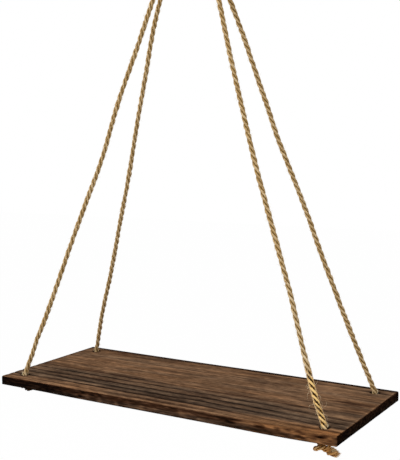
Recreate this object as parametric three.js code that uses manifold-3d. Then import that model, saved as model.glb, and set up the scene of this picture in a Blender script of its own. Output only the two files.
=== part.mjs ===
// Hanging rope shelf: one plank carried by two doubled jute ropes from a ceiling hook.
// Lengths are millimetres. +Z is up, X runs along the plank, Y runs from its front edge to its back edge.
// The origin is the middle of the ceiling plate's top face, where the shelf is fixed to a ceiling.
import * as THREE from "three";
import { mergeVertices } from "three/addons/utils/BufferGeometryUtils.js";
import Module from "manifold-3d";

const wasm = await Module();
wasm.setup();

// The plank
const plankLength = 420;
const plankWidth = 170;
const plankThickness = 10.5;
const plankCornerRadius = 2;
const plankEdgeRound = 1.2;
const plankDrop = 550; // from the middle of the ring down to the plank's top face

// The four rope holes
const holeDiameter = 9;
const holeFromEnd = 20;
const holeFromEdge = 18;
const holeChamfer = 0.8;

// Jute rope, and the jute twine that binds it
const ropeDiameter = 5.5;
const knotRopeDiameter = 4; // the rope is squeezed thinner where it is pulled into a knot
const twineDiameter = 2.2;
const twineGap = 0.5; // between one turn and the next
const twineTurns = 8;
const twineTopFromRing = 57.5; // along the rope, from the middle of the ring
const ropePairSpacing = 6; // between the middles of the two runs inside the binding

// The steel ring
const ringBarDiameter = 5;
const ringInnerDiameter = 29;

// The ceiling hook and its plate
const hookWireDiameter = 5;
const hookBendInnerDiameter = 19;
const hookSeatDrop = 45; // from the ceiling down to the middle of the wire at the seat
const plateDiameter = 42;
const plateThickness = 3;
const plateEdgeRound = 0.8;
const screwHoleDiameter = 4.6;
const screwHeadDiameter = 8.6;
const screwHoleSpacing = 27;

// Clearances, and how far a cutting tool runs past the piece that it cuts
const seatClearance = 0.3;
const toolOverrun = 2;

// Places worked out from the sizes
const ringRadius = (ringInnerDiameter + ringBarDiameter) / 2;
const ringCentreZ = -hookSeatDrop + ringBarDiameter / 2 + hookWireDiameter / 2 + seatClearance - ringRadius;
const plankTopZ = ringCentreZ - plankDrop;
const plankBottomZ = plankTopZ - plankThickness;
const holeX = plankLength / 2 - holeFromEnd;
const holeY = plankWidth / 2 - holeFromEdge;
const ropeLean = Math.atan(holeX / plankDrop); // from upright, in the plane of the plank's length

// Route of each rope, measured from the middle of the ring: up from under the front hole,
// over the ring's bar, and down through the back hole. The runs bow a little, each by its own amount.
const rightRopeRoute = [
  [190, -67, -560.5], [190, -67, -555.5], [190, -67, -551], [186.9, -65.9, -540.5],
  [179.5, -63.5, -521.5], [166, -58.5, -484], [144.5, -50.5, -427.5], [123.5, -42.5, -371],
  [102.5, -34.5, -315], [82.5, -26.5, -258], [63, -18.5, -201], [45, -11, -143.5],
  [32.6, -5.8, -100], [26.1, -3, -75.6], [18.3, -3, -52.9], [12.4, -4.1, -35.9],
  [8.2, -5.4, -23.6], [5.6, -5.6, -16.1], [4.2, -3.9, -12.3], [3.7, 0, -10.8],
  [4.2, 3.9, -12.3], [5.6, 5.6, -16.1], [8.2, 5.4, -23.6], [12.4, 4.1, -35.9],
  [18.3, 3, -52.9], [26.1, 3, -75.6], [33.9, 6, -99.5], [48, 11.5, -142.5],
  [67, 19, -199.5], [86, 26.5, -257], [105.5, 34, -314], [125, 41.5, -370.5],
  [145, 49.5, -427.5], [165.5, 57.5, -484], [179.5, 63, -522], [186.8, 65.7, -540.6],
  [190, 67, -551], [190, 67, -555.5], [190, 67, -560.5],
];
const leftRopeRoute = [
  [-190, -67, -560.5], [-190, -67, -555.5], [-190, -67, -551], [-186.9, -65.7, -540.6],
  [-179.5, -63, -522], [-166, -57.5, -484], [-145.5, -49.5, -427.5], [-125.5, -41.5, -370.5],
  [-106, -34, -313.5], [-86.5, -26.5, -256.5], [-67, -19, -199.5], [-48, -11.5, -142.5],
  [-34, -6, -99.5], [-26.1, -3, -75.6], [-18.3, -3, -52.9], [-12.4, -4.1, -35.9],
  [-8.2, -5.4, -23.6], [-5.6, -5.6, -16.1], [-4.2, -3.9, -12.3], [-3.7, 0, -10.8],
  [-4.2, 3.9, -12.3], [-5.6, 5.6, -16.1], [-8.2, 5.4, -23.6], [-12.4, 4.1, -35.9],
  [-18.3, 3, -52.9], [-26.1, 3, -75.6], [-35.6, 6.5, -98.8], [-52, 12.5, -141],
  [-72, 20.5, -197.5], [-91.5, 27.5, -255], [-110, 35, -312], [-128.5, 42, -369.5],
  [-147, 49.5, -427], [-166, 57.5, -484], [-179.5, 62.5, -522], [-186.8, 65.7, -540.6],
  [-190, 67, -551], [-190, 67, -555.5], [-190, 67, -560.5],
];

// The overhand knot, in shares of the knotted rope's diameter: two runs twist half round each
// other in the heart of the knot, and the rope between them makes one full turn round both.
const knotHeartRadiusShare = 0.69;
const knotHeartHeightShare = 0.66;
const knotTurnRadiusShare = 1.81;
const knotTurnHeightShare = 0.44;
const knotFoldShare = 0.42;
const knotFoldEaseShare = 0.26;
const knotFoldInsetShare = 0.12;
const knotTailReachShares = [0.25, 0.95, 1.7, 2.75];
const knotTailDropShares = [0.29, 0.44, 0.48, 0.53];
const knotTailDroopShares = [0, 0.1, 0.45, 1.15];
const knotFrayShares = [1.2, 1.55, 1.8, 1.5]; // how the last rings of the tail widen to a frayed tuft
const heartShares = [0.2, 0.5, 0.8];
const knotFoldTurn = 0.6; // radians
const knotTailSweep = 0.05; // radians

// Each knot: the way its tail points, in radians from +X, how far the tail droops, and how much
// thinner than the others its rope was pulled
const knotTails = {
  front_left: { turn: 1.8, droopShare: 0.3, pullShare: 0.86 },
  back_left: { turn: -0.5, droopShare: 0.6, pullShare: 1 },
  front_right: { turn: 0.2, droopShare: 1, pullShare: 1 },
  back_right: { turn: 1.6, droopShare: 0.4, pullShare: 1 },
};

// The hook's shank below the plate, as [y, z] from the middle of the bend, in shares of its radius
const hookShankShares = [[0, 1.75], [0.17, 1.36], [0.42, 1.01]];
const hookBendStart = (45 * Math.PI) / 180;
const hookBendEnd = (-205 * Math.PI) / 180;

// How the gap of a bent tube to itself is measured, in shares of its diameter
const gapSampleShare = 0.06;
const halfTurnShare = 1.73;

const ringToleranceShare = 0.001; // for telling which ring of a tube a corner belongs to

// Facets
const ropeSides = 8;
const ropeStepsPerPoint = 2;
const knotSides = 8;
const knotSteps = 56;
const knotOuterSteps = 5;
const twineSides = 6;
const twineStepsPerTurn = 20;
const hookSides = 12;
const hookBendSteps = 10;
const ringSides = 12;
const roundSegments = 48;
const edgeSegments = 3;

// Colours and finishes
const burntPine = new THREE.MeshStandardMaterial({ color: 0x3b2a22, roughness: 0.75, metalness: 0 });
const jute = new THREE.MeshStandardMaterial({ color: 0xa5834f, roughness: 0.95, metalness: 0 });
const juteTwine = new THREE.MeshStandardMaterial({ color: 0xb08d58, roughness: 0.95, metalness: 0 });
const zincSteel = new THREE.MeshStandardMaterial({ color: 0xb4b6b8, roughness: 0.35, metalness: 1 });

// A route that takes its steps from point to point, so that a tight bend gets as many as a long run.
class Route extends THREE.CatmullRomCurve3 {
  getUtoTmapping(u) {
    return u;
  }
}

// The middle of a length of twine or wire, worked out by a function of its share from 0 to 1.
class FormulaPath extends THREE.Curve {
  constructor(place) {
    super();
    this.place = place;
  }
  getPoint(share, target = new THREE.Vector3()) {
    return target.copy(this.place(share));
  }
}

function toVectors(points) {
  return points.map(([x, y, z]) => new THREE.Vector3(x, y, z));
}

function circleShape(diameter, sides) {
  const corners = [];
  for (let i = 0; i < sides; i++) {
    const angle = (i / sides) * Math.PI * 2;
    corners.push(new THREE.Vector2(Math.cos(angle), Math.sin(angle)).multiplyScalar(diameter / 2));
  }
  return new THREE.Shape(corners);
}

// A round section drawn along a curve, closed at both ends.
function tube(curve, diameter, sides, steps) {
  const settings = { steps, bevelEnabled: false, extrudePath: curve };
  return new THREE.ExtrudeGeometry(circleShape(diameter, sides), settings);
}

// The least space that a bent tube leaves to itself, measured on points along its middle.
// Points nearer than a tight half turn along the tube are its neighbours and aren't compared.
function leastGapToItself(curve, diameter) {
  const samples = Math.ceil(curve.getLength() / (diameter * gapSampleShare));
  const points = curve.getSpacedPoints(samples);
  const neighbours = Math.ceil(halfTurnShare / gapSampleShare);
  let least = Infinity;
  for (let i = 0; i < points.length; i++) {
    for (let j = i + neighbours; j < points.length; j++) {
      least = Math.min(least, points[i].distanceTo(points[j]) - diameter);
    }
  }
  return least;
}

function toManifold(geometry) {
  const bare = geometry.clone();
  bare.deleteAttribute("normal");
  bare.deleteAttribute("uv");
  const merged = mergeVertices(bare);
  const vertProperties = new Float32Array(merged.attributes.position.array);
  const triVerts = new Uint32Array(merged.index.array);
  return new wasm.Manifold(new wasm.Mesh({ numProp: 3, vertProperties, triVerts }));
}

function toGeometry(solid) {
  const mesh = solid.getMesh();
  const geometry = new THREE.BufferGeometry();
  geometry.setAttribute("position", new THREE.BufferAttribute(mesh.vertProperties, 3));
  geometry.setIndex(new THREE.BufferAttribute(mesh.triVerts, 1));
  return geometry;
}

function cutAway(geometry, tools) {
  let solid = toManifold(geometry);
  for (const tool of tools) {
    solid = solid.subtract(toManifold(tool));
  }
  return toGeometry(solid);
}

function named(name, geometry, material) {
  const mesh = new THREE.Mesh(geometry, material);
  mesh.name = name;
  return mesh;
}

// A revolved profile of [radius, height] pairs about the Z axis.
function revolve(profile, segments) {
  const points = profile.map(([radius, height]) => new THREE.Vector2(radius, height));
  return new THREE.LatheGeometry(points, segments).rotateX(Math.PI / 2);
}

function roundedRectangle(length, width, radius) {
  const x = length / 2;
  const y = width / 2;
  const shape = new THREE.Shape();
  shape.moveTo(-x + radius, -y);
  shape.lineTo(x - radius, -y);
  shape.absarc(x - radius, -y + radius, radius, -Math.PI / 2, 0, false);
  shape.lineTo(x, y - radius);
  shape.absarc(x - radius, y - radius, radius, 0, Math.PI / 2, false);
  shape.lineTo(-x + radius, y);
  shape.absarc(-x + radius, y - radius, radius, Math.PI / 2, Math.PI, false);
  shape.lineTo(-x, -y + radius);
  shape.absarc(-x + radius, -y + radius, radius, Math.PI, Math.PI * 1.5, false);
  return shape;
}

// A drill for one rope hole, wider at both faces so that it takes the sharp rim off.
function ropeHoleDrill(x, y) {
  const radius = holeDiameter / 2;
  const wide = radius + holeChamfer + toolOverrun;
  const profile = [
    [0, plankBottomZ - toolOverrun],
    [wide, plankBottomZ - toolOverrun],
    [radius, plankBottomZ + holeChamfer],
    [radius, plankTopZ - holeChamfer],
    [wide, plankTopZ + toolOverrun],
    [0, plankTopZ + toolOverrun],
  ];
  return revolve(profile, roundSegments / 2).translate(x, y, 0);
}

// One thin pine plank with eased edges and a hole near each corner.
function makePlank() {
  const face = roundedRectangle(
    plankLength - plankEdgeRound * 2,
    plankWidth - plankEdgeRound * 2,
    plankCornerRadius - plankEdgeRound,
  );
  const blank = new THREE.ExtrudeGeometry(face, {
    depth: plankThickness - plankEdgeRound * 2,
    bevelEnabled: true,
    bevelSize: plankEdgeRound,
    bevelThickness: plankEdgeRound,
    bevelSegments: edgeSegments,
    curveSegments: edgeSegments,
  });
  blank.translate(0, 0, plankBottomZ + plankEdgeRound);
  const drills = [];
  for (const x of [-holeX, holeX]) {
    for (const y of [-holeY, holeY]) {
      drills.push(ropeHoleDrill(x, y));
    }
  }
  return named("shelf_board", cutAway(blank, drills), burntPine);
}

// One jute rope from its front knot, over the ring, to its back knot.
function makeRope(name, route) {
  const curve = new Route(toVectors(route), false, "centripetal");
  const steps = (route.length - 1) * ropeStepsPerPoint;
  const rope = named(name, tube(curve, ropeDiameter, ropeSides, steps), jute);
  rope.position.z = ringCentreZ;
  return rope;
}

// The middle of the rope in an overhand knot, from its top end to its tail.
// Each station is a turn in radians, a radius and a height, in shares of the rope's diameter.
function knotStations(droopShare) {
  const heart = knotHeartRadiusShare;
  const outer = knotTurnRadiusShare;
  const height = knotHeartHeightShare;
  const middle = (heart + outer) / 2;
  const easeHeight = height + knotFoldEaseShare;
  const foldHeight = height + knotFoldShare;
  const fullTurn = Math.PI * 3;
  const stations = [];
  const passHeart = (startTurn) => {
    for (const share of heartShares) {
      stations.push([startTurn + Math.PI * share, heart, height * (1 - 2 * share)]);
    }
  };
  stations.push([0, heart, foldHeight + 1 / 2], [0, heart, easeHeight]);
  passHeart(0);
  stations.push([Math.PI, heart + knotFoldInsetShare, -easeHeight]);
  stations.push([Math.PI + knotFoldTurn / 2, middle, -foldHeight]);
  stations.push([Math.PI + knotFoldTurn, outer - knotFoldInsetShare, -easeHeight]);
  const outerStart = Math.PI + knotFoldTurn * 1.5;
  const outerEnd = fullTurn - knotFoldTurn * 1.5;
  for (let i = 0; i <= knotOuterSteps; i++) {
    const share = i / knotOuterSteps;
    const turn = outerStart + (outerEnd - outerStart) * share;
    stations.push([turn, outer, knotTurnHeightShare * (2 * share - 1)]);
  }
  stations.push([fullTurn - knotFoldTurn, outer - knotFoldInsetShare, easeHeight]);
  stations.push([fullTurn - knotFoldTurn / 2, middle, foldHeight]);
  stations.push([fullTurn, heart + knotFoldInsetShare, easeHeight]);
  passHeart(fullTurn);
  knotTailReachShares.forEach((reach, i) => {
    const turn = fullTurn + Math.PI + knotTailSweep * (i + 1);
    const drop = knotTailDropShares[i] + knotTailDroopShares[i] * droopShare;
    stations.push([turn, heart + reach, -height - drop]);
  });
  return stations;
}

// The knot's top end is at the origin, and the whole knot hangs below it.
function knotCurve(droopShare, diameter) {
  const stations = knotStations(droopShare);
  const top = stations[0][2];
  const points = stations.map(([turn, radius, height]) => {
    const x = radius * Math.cos(turn) - knotHeartRadiusShare;
    return new THREE.Vector3(x, radius * Math.sin(turn), height - top).multiplyScalar(diameter);
  });
  return new THREE.CatmullRomCurve3(points, false, "centripetal");
}

// The strands come apart at the tail's end: each of the tube's last rings spreads about its middle.
function frayTail(geometry, curve, diameter) {
  const corners = geometry.attributes.position;
  const corner = new THREE.Vector3();
  const radius = diameter / 2;
  const middles = curve.getSpacedPoints(knotSteps).slice(-knotFrayShares.length);
  for (let i = 0; i < corners.count; i++) {
    corner.fromBufferAttribute(corners, i);
    const ring = middles.findIndex((middle) => {
      return Math.abs(corner.distanceTo(middle) / radius - 1) < ringToleranceShare;
    });
    if (ring < 0) continue;
    corner.sub(middles[ring]).multiplyScalar(knotFrayShares[ring]).add(middles[ring]);
    corners.setXYZ(i, corner.x, corner.y, corner.z);
  }
  return geometry;
}

// A stopper knot under one hole: it starts where the rope ends and its tail points to one side.
function makeKnot(corner) {
  const { turn, droopShare, pullShare } = knotTails[corner];
  const diameter = knotRopeDiameter * pullShare;
  const curve = knotCurve(droopShare, diameter);
  const geometry = frayTail(tube(curve, diameter, knotSides, knotSteps), curve, diameter);
  const knot = named(`knot_${corner}`, geometry, jute);
  const x = corner.endsWith("left") ? -holeX : holeX;
  const y = corner.startsWith("front") ? -holeY : holeY;
  knot.position.set(x, y, plankBottomZ - seatClearance);
  knot.rotation.z = turn;
  return knot;
}

// The middle of the twine: it goes round the two runs of rope, straight between them on both sides.
function twineCurve() {
  const radius = ropeDiameter / 2 + seatClearance + twineDiameter / 2;
  const half = ropePairSpacing / 2;
  const arc = Math.PI * radius;
  const perimeter = 2 * (arc + ropePairSpacing);
  const pitch = twineDiameter + twineGap;
  return new FormulaPath((share) => {
    const turned = share * twineTurns;
    const along = (turned % 1) * perimeter;
    const down = -turned * pitch;
    if (along < half) return new THREE.Vector3(radius, along, down);
    if (along < half + arc) {
      const angle = (along - half) / radius;
      return new THREE.Vector3(radius * Math.cos(angle), half + radius * Math.sin(angle), down);
    }
    const back = along - half - arc;
    if (back < ropePairSpacing) return new THREE.Vector3(-radius, half - back, down);
    if (back < ropePairSpacing + arc) {
      const angle = Math.PI + (back - ropePairSpacing) / radius;
      return new THREE.Vector3(radius * Math.cos(angle), -half + radius * Math.sin(angle), down);
    }
    return new THREE.Vector3(radius, back - ropePairSpacing - arc - half, down);
  });
}

// Twine wound tightly round both runs of one rope, below the ring. It leans with the rope.
function makeBinding(name, side) {
  const turns = tube(twineCurve(), twineDiameter, twineSides, twineTurns * twineStepsPerTurn);
  const binding = named(name, turns, juteTwine);
  const lean = -side * ropeLean;
  const reach = twineTopFromRing + twineDiameter / 2;
  binding.position.set(-reach * Math.sin(lean), 0, ringCentreZ - reach * Math.cos(lean));
  binding.rotation.y = lean;
  return binding;
}

// The welded ring that gathers the ropes. It hangs upright in the plane of the plank's length.
function makeRing() {
  const profile = [];
  for (let i = 0; i <= ringSides; i++) {
    const angle = (i / ringSides) * Math.PI * 2;
    const radius = ringRadius + (Math.cos(angle) * ringBarDiameter) / 2;
    profile.push([radius, (Math.sin(angle) * ringBarDiameter) / 2]);
  }
  profile[ringSides] = profile[0];
  const ring = named("steel_ring", revolve(profile, roundSegments), zincSteel);
  ring.rotation.x = Math.PI / 2;
  ring.position.z = ringCentreZ;
  return ring;
}

// The hook: a straight shank that swings out to the back, round under the seat and up to a free end.
function makeHook() {
  const radius = (hookBendInnerDiameter + hookWireDiameter) / 2;
  const centreZ = -hookSeatDrop + radius;
  const shankTop = -plateThickness - seatClearance;
  const shank = hookShankShares.map(([y, z]) => new THREE.Vector3(0, radius * y, centreZ + radius * z));
  const points = [new THREE.Vector3(0, 0, shankTop), new THREE.Vector3(0, 0, (shankTop + shank[0].z) / 2)];
  points.push(...shank);
  for (let i = 0; i <= hookBendSteps; i++) {
    const angle = hookBendStart + ((hookBendEnd - hookBendStart) * i) / hookBendSteps;
    points.push(new THREE.Vector3(0, radius * Math.cos(angle), centreZ + radius * Math.sin(angle)));
  }
  const curve = new Route(points, false, "centripetal");
  const geometry = tube(curve, hookWireDiameter, hookSides, (points.length - 1) * 2);
  return named("ceiling_hook", geometry, zincSteel);
}

// A countersunk hole for one ceiling screw.
function screwHoleDrill(x) {
  const narrow = screwHoleDiameter / 2;
  const wide = screwHeadDiameter / 2;
  const profile = [
    [0, -plateThickness - toolOverrun],
    [wide + toolOverrun, -plateThickness - toolOverrun],
    [wide, -plateThickness],
    [narrow, -plateThickness + wide - narrow],
    [narrow, toolOverrun],
    [0, toolOverrun],
  ];
  return revolve(profile, roundSegments / 2).translate(x, 0, 0);
}

// The round plate that lies against the ceiling, with its lower rim rounded over.
function makePlate() {
  const radius = plateDiameter / 2;
  const profile = [[0, -plateThickness]];
  for (let i = 0; i <= edgeSegments; i++) {
    const angle = ((i / edgeSegments) * Math.PI) / 2;
    const out = radius - plateEdgeRound + plateEdgeRound * Math.sin(angle);
    profile.push([out, -plateThickness + plateEdgeRound - plateEdgeRound * Math.cos(angle)]);
  }
  profile.push([radius, 0], [0, 0]);
  const blank = revolve(profile, roundSegments);
  const half = screwHoleSpacing / 2;
  return named("ceiling_plate", cutAway(blank, [screwHoleDrill(-half), screwHoleDrill(half)]), zincSteel);
}

const group = new THREE.Group();
group.add(makePlank());
group.add(makeRope("rope_left", leftRopeRoute));
group.add(makeRope("rope_right", rightRopeRoute));
for (const corner of Object.keys(knotTails)) {
  group.add(makeKnot(corner));
}
group.add(makeBinding("twine_binding_left", -1));
group.add(makeBinding("twine_binding_right", 1));
group.add(makeRing());
group.add(makeHook());
group.add(makePlate());

for (const [corner, { droopShare, pullShare }] of Object.entries(knotTails)) {
  const diameter = knotRopeDiameter * pullShare;
  const gap = leastGapToItself(knotCurve(droopShare, diameter), diameter);
  console.log(`least gap in the ${corner} knot, mm:`, gap.toFixed(2));
}
console.log("least gap in a binding, mm:", leastGapToItself(twineCurve(), twineDiameter).toFixed(2));
for (const [side, route] of [["left", leftRopeRoute], ["right", rightRopeRoute]]) {
  const length = new Route(toVectors(route)).getLength();
  console.log(`length of the ${side} rope between its knots, mm:`, length.toFixed(0));
}

export default group;
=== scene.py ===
# %% [markdown]
# # A hanging rope shelf
# One scorched pine plank hangs from two jute ropes. Each rope goes up through the front hole, over
# a steel ring and down through the back hole, and is knotted under the plank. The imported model
# already holds the true sizes, so it is loaded first, and every piece below is built around it.

# %% Load the frame
import math

import bpy
import numpy as np
from mathutils import Matrix, Vector


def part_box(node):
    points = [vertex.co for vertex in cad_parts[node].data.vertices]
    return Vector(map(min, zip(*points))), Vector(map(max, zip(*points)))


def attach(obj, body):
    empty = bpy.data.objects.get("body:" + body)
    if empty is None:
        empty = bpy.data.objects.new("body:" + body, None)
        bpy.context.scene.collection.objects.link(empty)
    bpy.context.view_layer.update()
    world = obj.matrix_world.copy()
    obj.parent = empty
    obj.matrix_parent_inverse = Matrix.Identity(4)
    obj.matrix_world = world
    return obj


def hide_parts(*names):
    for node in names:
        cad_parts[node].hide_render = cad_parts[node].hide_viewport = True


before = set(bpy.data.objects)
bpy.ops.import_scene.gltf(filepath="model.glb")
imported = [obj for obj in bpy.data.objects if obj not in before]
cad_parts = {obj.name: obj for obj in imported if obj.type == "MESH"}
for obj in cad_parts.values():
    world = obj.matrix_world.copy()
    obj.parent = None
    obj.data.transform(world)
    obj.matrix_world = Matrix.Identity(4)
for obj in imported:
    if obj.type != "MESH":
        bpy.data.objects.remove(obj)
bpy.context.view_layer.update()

MM = 0.001

# %% [markdown]
# ## The camera
# The photograph was taken from the front and right, a little above the plank, with a short
# telephoto. The place and the three angles were solved from the plank's corners, its holes and the
# lines of the ropes. The lens is given over the height of the picture, because that is its long
# side.

# %% Place the camera
camera_place = Vector((520.5, -825.8, -334.2)) * MM
camera_yaw = math.radians(31.681)
camera_pitch = math.radians(-5.796)
camera_roll = math.radians(-0.351)
camera_lens = 69.43  # over a 36 mm high sensor

camera_data = bpy.data.cameras.new("photo_camera")
camera_data.sensor_fit = "VERTICAL"
camera_data.sensor_height = 36
camera_data.lens = camera_lens
camera = bpy.data.objects.new("photo_camera", camera_data)
camera.matrix_world = (
    Matrix.Translation(camera_place)
    @ Matrix.Rotation(camera_yaw, 4, "Z")
    @ Matrix.Rotation(math.radians(90) + camera_pitch, 4, "X")
    @ Matrix.Rotation(camera_roll, 4, "Z")
)
bpy.context.scene.collection.objects.link(camera)
bpy.context.scene.camera = camera
print("lens, mm:", camera_data.lens)

axes = np.eye(3)
# What is level for the camera: to its right, and towards it
level_right = np.array([math.cos(camera_yaw), math.sin(camera_yaw), 0])
level_front = np.array([math.sin(camera_yaw), -math.cos(camera_yaw), 0])

# %% [markdown]
# ## Small helpers
# A colour is written as the hex value that a paint program shows. Blender works in linear light, so
# one function turns it. Soft noise is a lattice of seeded random numbers with smooth steps between
# them: the same seed gives the same bumps on every run.

# %% Helpers for colour, noise and meshes
lattice_size = 64


def linear(hex_colour):
    """Turns an sRGB colour such as "#a5834f" into linear RGBA."""
    channels = [int(hex_colour[i:i + 2], 16) / 255 for i in (1, 3, 5)]
    light = [c / 12.92 if c <= 0.04045 else ((c + 0.055) / 1.055) ** 2.4 for c in channels]
    return (*light, 1.0)


def ramp(value, low, high):
    """0 below low, 1 above high and a smooth step between them."""
    share = np.clip((value - low) / (high - low), 0, 1)
    return share * share * (3 - 2 * share)


def bell(distance, width):
    """1 at no distance, fading to 0 at about twice the width."""
    return np.exp(-((distance / width) ** 2))


def soft_noise(u, v, seed):
    """Smooth noise from -1 to 1, with bumps about one unit of u and v apart."""
    lattice = np.random.default_rng(seed).uniform(-1, 1, (lattice_size, lattice_size))
    u, v = np.broadcast_arrays(np.asarray(u, float), np.asarray(v, float))
    column, row = np.floor(u).astype(int), np.floor(v).astype(int)
    across, down = ramp(u - column, 0, 1), ramp(v - row, 0, 1)

    def at_row(this_row):
        this_row = this_row % lattice_size
        left, right = (lattice[this_row, (column + i) % lattice_size] for i in (0, 1))
        return left * (1 - across) + right * across

    return at_row(row) * (1 - down) + at_row(row + 1) * down


def unit(vectors):
    return vectors / np.linalg.norm(vectors, axis=-1, keepdims=True)


def run_along(points):
    """How far each point is from the first, along the line or lines that they make."""
    steps = np.linalg.norm(np.diff(points, axis=-2), axis=-1)
    return np.concatenate([np.zeros_like(steps[..., :1]), np.cumsum(steps, axis=-1)], axis=-1)


def length_of(points):
    return float(np.linalg.norm(np.diff(points, axis=0), axis=1).sum())


def add_mesh(name, points, faces, material, body, marks):
    """Makes a piece that rides on a body. marks are named numbers for the shader, one a point."""
    mesh = bpy.data.meshes.new(name)
    mesh.from_pydata(np.asarray(points).tolist(), [], faces)
    mesh.polygons.foreach_set("use_smooth", [True] * len(mesh.polygons))
    for mark, values in marks.items():
        attribute = mesh.attributes.new(mark, "FLOAT", "POINT")
        attribute.data.foreach_set("value", np.asarray(values, np.float32).ravel())
    mesh.materials.append(material)
    mesh.update()
    piece = bpy.data.objects.new(name, mesh)
    bpy.context.scene.collection.objects.link(piece)
    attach(piece, body)
    return piece


# %% [markdown]
# ## Where the ropes run
# A taut rope isn't quite a straight line: it bows a little under its own weight, it keeps some of
# the bends of its coil, and at the hole it turns down. The points were chosen along each run, from
# the hole up. They are measured from the middle of the ring, and the signs for left and front come
# later. A Catmull-Rom curve passes through all of them.

# %% Points of the four runs, mm from the middle of the ring
in_hole = [(190, 67, -560.5), (190, 67, -555.5), (190, 67, -551)]
over_ring = [
    (26.1, 3, -75.6), (18.3, 3, -52.9), (12.4, 4.1, -35.9), (8.2, 5.4, -23.6), (5.6, 5.6, -16.1),
    (4.2, 3.9, -12.3),
]
ring_top = (3.7, 0, -10.8)
runs = {
    "front_left": [
        (186.9, 65.7, -540.6), (179.5, 63, -522), (166, 57.5, -484), (145.5, 49.5, -427.5),
        (125.5, 41.5, -370.5), (106, 34, -313.5), (86.5, 26.5, -256.5), (67, 19, -199.5),
        (48, 11.5, -142.5), (34, 6, -99.5),
    ],
    "back_left": [
        (186.8, 65.7, -540.6), (179.5, 62.5, -522), (166, 57.5, -484), (147, 49.5, -427),
        (128.5, 42, -369.5), (110, 35, -312), (91.5, 27.5, -255), (72, 20.5, -197.5),
        (52, 12.5, -141), (35.6, 6.5, -98.8),
    ],
    "front_right": [
        (186.9, 65.9, -540.5), (179.5, 63.5, -521.5), (166, 58.5, -484), (144.5, 50.5, -427.5),
        (123.5, 42.5, -371), (102.5, 34.5, -315), (82.5, 26.5, -258), (63, 18.5, -201),
        (45, 11, -143.5), (32.6, 5.8, -100),
    ],
    "back_right": [
        (186.8, 65.7, -540.6), (179.5, 63, -522), (165.5, 57.5, -484), (145, 49.5, -427.5),
        (125, 41.5, -370.5), (105.5, 34, -314), (86, 26.5, -257), (67, 19, -199.5),
        (48, 11.5, -142.5), (33.9, 6, -99.5),
    ],
}
rope_bends = {  # height above the plank, half length, and reach to the camera's right, mm
    "front_left": ((42, 16, -1.1), (150, 40, -0.7), (248, 36, 1.9), (325, 40, -1.1)),
    "back_left": ((58, 36, -2.1), (230, 60, 1.15), (390, 40, -1.3)),
    "front_right": ((45, 55, -1.7), (125, 26, 0.9), (262, 55, -0.8), (350, 40, -0.3)),
    "back_right": ((75, 40, -0.4), (195, 30, 0.9), (273, 25, -1.1), (384, 28, 0.8)),
}
bends_begin = (-8, 25)
bends_end = (410, 445)
rope_step = 1.25 * MM
span_samples = 25  # on the curve between two points


# %% A smooth curve through the points, and frames that travel along it
def curve_through(points, step):
    """Points about a step apart on the centripetal Catmull-Rom curve through the given points."""
    points = np.asarray(points, float)
    padded = np.vstack([2 * points[:1] - points[1:2], points, 2 * points[-1:] - points[-2:-1]])
    dense = []
    for p0, p1, p2, p3 in zip(padded, padded[1:], padded[2:], padded[3:]):
        gaps = ((p0, p1), (p1, p2), (p2, p3))
        d0, d1, d2 = (max(np.linalg.norm(b - a), 1e-9) ** 0.5 for a, b in gaps)
        leave = ((p1 - p0) / d0 - (p2 - p0) / (d0 + d1) + (p2 - p1) / d1) * d1
        arrive = ((p2 - p1) / d1 - (p3 - p1) / (d1 + d2) + (p3 - p2) / d2) * d1
        share = np.linspace(0, 1, span_samples)[:-1, None]
        cubic = 2 * p1 - 2 * p2 + leave + arrive
        square = -3 * p1 + 3 * p2 - 2 * leave - arrive
        dense.append(p1 + leave * share + square * share**2 + cubic * share**3)
    dense = np.vstack(dense + [points[-1:]])
    along = run_along(dense)
    places = np.linspace(0, along[-1], max(2, round(along[-1] / step) + 1))
    return np.stack([np.interp(places, along, dense[:, axis]) for axis in range(3)], axis=1)


def travelling_frames(middles):
    """Tangent, side and upright at each point, carried along without any twist."""
    tangents = unit(np.gradient(middles, axis=0))
    side = np.cross(tangents[0], (0.31, 0.17, 0.93))  # any direction that the line isn't in
    sides = []
    for tangent in tangents:
        side = side - tangent * np.dot(side, tangent)
        side = side / np.linalg.norm(side)
        sides.append(side)
    sides = np.array(sides)
    return tangents, sides, np.cross(tangents, sides)


def outward(sides, uprights, angle):
    """The direction at an angle round a line, from its side towards its upright."""
    return sides * np.cos(angle)[..., None] + uprights * np.sin(angle)[..., None]


def rope_route(side):
    """Points of one rope, in mm, from its front hole over the ring to its back hole."""
    front, back = (in_hole + runs[f"{end}_{side}"] + over_ring for end in ("front", "back"))
    points = [(x, -y, z) for x, y, z in front] + [ring_top] + back[::-1]
    return np.array(points) * (-1 if side == "left" else 1, 1, 1)


plank_low, plank_high = (np.array(corner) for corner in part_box("shelf_board"))
plank_top = plank_high[2]
ring_low, ring_high = (np.array(corner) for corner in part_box("steel_ring"))
ring_middle = (ring_low + ring_high) / 2
rope_middles = {}
for side in ("left", "right"):
    middles = curve_through(rope_route(side) * MM + ring_middle, rope_step)
    height = (middles[:, 2] - plank_top) / MM
    bend = np.zeros(len(middles))
    for end, on_run in (("front", middles[:, 1] < 0), ("back", middles[:, 1] >= 0)):
        for bend_height, bend_length, reach in rope_bends[f"{end}_{side}"]:
            bend += on_run * reach * bell(height - bend_height, bend_length)
    bend = bend * ramp(height, *bends_begin) * (1 - ramp(height, *bends_end))
    rope_middles[side] = middles + level_right * bend[:, None] * MM
    print(side, "rope, mm:", round(length_of(rope_middles[side]) / MM))

# %% [markdown]
# ## How a material is put together
# Every finish below is a small tree of nodes that ends in one Principled shader. One helper adds a
# node of any kind, sets its properties, joins its inputs and gives back the output that the next
# node needs. A mix of colours uses inputs 6 and 7 of the Mix node, and its result comes out of
# output 2.

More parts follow.
